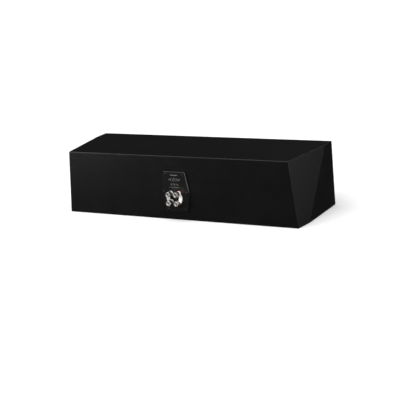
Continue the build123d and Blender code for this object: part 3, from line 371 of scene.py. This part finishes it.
def finishes():
    """One finish for each material slot of the record, and for the nodes that have one of their own."""
    mats = {
        "cabinet_black": cabinet_finish(),
        "copper_coil": wound_copper(),
        "cone_black": cone_finish(),
    }
    for make, table in ((speckled, SPECKLED), (brushed_metal, BRUSHED), (woven, WOVEN)):
        for name, values in table.items():
            mats[name] = make(name, *values)
    return mats


def paint_nodes(mats):
    """Give every CAD node its finish."""
    for sub in frame["record"]["subparts"]:
        mesh = NODES[sub["node"]].data
        mesh.materials.clear()
        slot_name = FINISH_INSTEAD.get(sub["node"], sub["material_slot"])
        mesh.materials.append(mats[slot_name])


# Surrounds and spiders, which stretch between the basket and the moving cone
def stretching(side, part):
    """Copy of a CAD ring whose inner edge follows the cone and whose outer edge stays."""
    name = f"{side}_woofer_{part}"
    piece = bpy.data.objects.new(f"{side}_{part}_soft", NODES[name].data.copy())
    bpy.context.scene.collection.objects.link(piece)
    low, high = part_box(name)
    axis = (low + high) / 2
    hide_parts(name)
    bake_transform(piece, "root", f"{side}_cone", start=low, end=high)
    inner, outer = INNER_EDGE[part], OUTER_EDGE[part]
    weights = piece.data.attributes["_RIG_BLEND"].data
    for vertex, weight in zip(piece.data.vertices, weights):
        radius = math.hypot(vertex.co.x - axis.x, vertex.co.z - axis.z)
        share = min(1.0, max(0.0, (outer - radius) / (outer - inner)))
        weight.value = share * share * (3 - 2 * share)


# Print and signs on the terminal plate
def on_plate(outlines, name, mat, proud=PRINT_PROUD):
    """Thin raised shape on the terminal plate from outlines of (right, up) points in millimetres."""
    mesh = bpy.data.meshes.new(name)
    shape = bmesh.new()
    for outline in outlines:
        corners = [shape.verts.new((-x * MM, PLATE_FACE + proud, z * MM)) for x, z in outline]
        shape.faces.new(corners)
    made = bmesh.ops.extrude_face_region(shape, geom=shape.faces[:])
    for item in made["geom"]:
        if isinstance(item, bmesh.types.BMVert):
            item.co.y = PLATE_FACE
    bmesh.ops.recalc_face_normals(shape, faces=shape.faces[:])
    shape.to_mesh(mesh)
    shape.free()
    mesh.materials.append(mat)
    piece = bpy.data.objects.new(name, mesh)
    bpy.context.scene.collection.objects.link(piece)
    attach(piece, "root")


def bar(x, z, width, height):
    """Rectangle about a centre."""
    return [(x - width / 2, z - height / 2), (x + width / 2, z - height / 2),
            (x + width / 2, z + height / 2), (x - width / 2, z + height / 2)]


def wave_strip():
    """Quads along a sine wave that swells in the middle."""
    points = []
    for step in range(WAVE_STEPS + 1):
        share = step / WAVE_STEPS
        rise = math.sin(share * WAVE_CYCLES * math.tau) * WAVE_HEIGHT / 2 * math.sin(share * math.pi)
        points.append((2 * WAVE_HALF * share - WAVE_HALF, WAVE_Z + rise))
    quads = []
    half = WAVE_STROKE / 2
    for (xa, za), (xb, zb) in zip(points, points[1:]):
        quads.append([(xa, za - half), (xb, zb - half), (xb, zb + half), (xa, za + half)])
    return quads


def ring_quads(x, z):
    """Quads round a flat ring."""
    def at(radius, step):
        turn = math.tau * step / RING_STEPS
        return (x + radius * math.cos(turn), z + radius * math.sin(turn))
    return [
        [at(RING_INNER, s), at(RING_OUTER, s), at(RING_OUTER, s + 1), at(RING_INNER, s + 1)]
        for s in range(RING_STEPS)
    ]


def plate_print(mats):
    """Generic print in pale ink, ticks, a wave, rings, bars and a rule, and moulded polarity signs."""
    ink = plate_ink()
    first = -(TICK_COUNT - 1) / 2
    ticks = [bar((first + index) * TICK_STEP, TICKS_Z, *TICK_SIZE) for index in range(TICK_COUNT)]
    on_plate(ticks, "plate_ticks", ink)
    on_plate(wave_strip(), "plate_wave", ink)
    on_plate(ring_quads(-RING_X, SIGNS_Z) + ring_quads(RING_X, SIGNS_Z), "plate_rings", ink)
    bars = [bar(0, SIGNS_Z + step * BAR_STEP, *BAR_SIZE) for step in (-1, 0, 1)]
    on_plate(bars, "plate_bars", ink)
    on_plate([bar(0, RULE_Z, *RULE_SIZE)], "plate_rule", ink)
    across = [bar(side * SIGN_X, SIGN_Z, 2 * SIGN_ARM, SIGN_STROKE) for side in (-1, 1)]
    reach = SIGN_ARM - SIGN_STROKE / 2
    rise = reach / 2 + SIGN_STROKE / 2
    upright = [bar(SIGN_X, SIGN_Z + side * rise, SIGN_STROKE, reach) for side in (-1, 1)]
    on_plate(across + upright, "plate_polarity", mats["terminal_plastic"], proud=SIGN_PROUD)


# Stage
def build_floor():
    """Wide pale floor, left out of reflections so that the black finish stays black."""
    mesh = bpy.data.meshes.new("floor")
    half = FLOOR_SIZE / 2
    corners = [(-half, -half, 0), (half, -half, 0), (half, half, 0), (-half, half, 0)]
    mesh.from_pydata(corners, [], [(0, 1, 2, 3)])
    floor = bpy.data.objects.new("floor", mesh)
    bpy.context.scene.collection.objects.link(floor)
    mesh.materials.append(principled("floor_white", FLOOR_TONE, roughness=0.9, specular=0.1))
    floor.visible_glossy = False


def build_world():
    """White backdrop for the camera, dim surroundings for the light."""
    world = bpy.data.worlds.new("studio")
    bpy.context.scene.world = world
    world.use_nodes = True
    tree = world.node_tree
    dim = tree.nodes["Background"]
    dim.inputs["Color"].default_value = (1, 1, 1, 1)
    dim.inputs["Strength"].default_value = ROOM_LIGHT
    white = tree.nodes.new("ShaderNodeBackground")
    white.inputs["Color"].default_value = (1, 1, 1, 1)
    white.inputs["Strength"].default_value = 1.0
    path = tree.nodes.new("ShaderNodeLightPath")
    mix = tree.nodes.new("ShaderNodeMixShader")
    tree.links.new(path.outputs["Is Camera Ray"], mix.inputs["Fac"])
    tree.links.new(dim.outputs["Background"], mix.inputs[1])
    tree.links.new(white.outputs["Background"], mix.inputs[2])
    tree.links.new(mix.outputs["Shader"], tree.nodes["World Output"].inputs["Surface"])


def soft_sun():
    """Even light from overhead, as from a large ceiling diffuser."""
    data = bpy.data.lights.new("ceiling", "SUN")
    data.energy = CEILING_LIGHT
    data.angle = CEILING_SPREAD
    lamp = bpy.data.objects.new("ceiling", data)
    lamp.rotation_mode = "QUATERNION"
    lamp.rotation_quaternion = (-Vector(CEILING_FROM)).to_track_quat("-Z", "Y")
    bpy.context.scene.collection.objects.link(lamp)


def softbox(name, place, aim, size, power):
    """Rectangular area light turned to a point."""
    data = bpy.data.lights.new(name, "AREA")
    data.shape = "RECTANGLE"
    data.size, data.size_y = size
    data.energy = power
    lamp = bpy.data.objects.new(name, data)
    lamp.location = place
    lamp.rotation_mode = "QUATERNION"
    lamp.rotation_quaternion = (Vector(aim) - Vector(place)).to_track_quat("-Z", "Y")
    lamp.visible_camera = False
    bpy.context.scene.collection.objects.link(lamp)
    return lamp


def pieces_of(words):
    """Pieces whose name holds one of the words."""
    objects = bpy.context.scene.objects
    return [piece for piece in objects if any(word in piece.name for word in words)]


def shine_on(lamp, pieces, state="INCLUDE"):
    """Let a lamp light some pieces alone, or with EXCLUDE everything else."""
    group = bpy.data.collections.new(f"{lamp.name}_pieces")
    for piece in pieces:
        group.objects.link(piece)
    for entry in group.collection_objects:
        entry.light_linking.link_state = state
    lamp.light_linking.receiver_collection = group


def build_lights():
    """Ceiling diffuser and softboxes, some of which light certain pieces alone."""
    soft_sun()
    lamps = {name: softbox(name, *values) for name, values in SOFTBOXES.items()}
    shine_on(lamps["rear_left"], [NODES["top_panel"]], "EXCLUDE")
    for name, words in LIT_ALONE.items():
        shine_on(lamps[name], pieces_of(words))


def build_camera():
    """Camera at the photograph's viewing angle, tipped a little about its own axis."""
    data = bpy.data.cameras.new("camera")
    data.lens = CAMERA_LENS_MM
    data.sensor_width = SENSOR_MM
    data.clip_end = CLIP_END
    camera = bpy.data.objects.new("camera", data)
    turn = Matrix.Rotation(CAMERA_HEADING, 4, "Z")
    tilt = Matrix.Rotation(math.pi / 2 - CAMERA_ELEVATION, 4, "X")
    roll = Matrix.Rotation(CAMERA_ROLL, 4, "Z")
    camera.matrix_world = Matrix.Translation(CAMERA_PLACE) @ turn @ tilt @ roll
    bpy.context.scene.collection.objects.link(camera)
    bpy.context.scene.camera = camera
    bpy.context.scene.view_settings.view_transform = "Standard"


materials = finishes()
paint_nodes(materials)
for side in ("left", "right"):
    stretching(side, "surround")
    stretching(side, "spider")
plate_print(materials)
build_floor()
build_world()
build_lights()
build_camera()
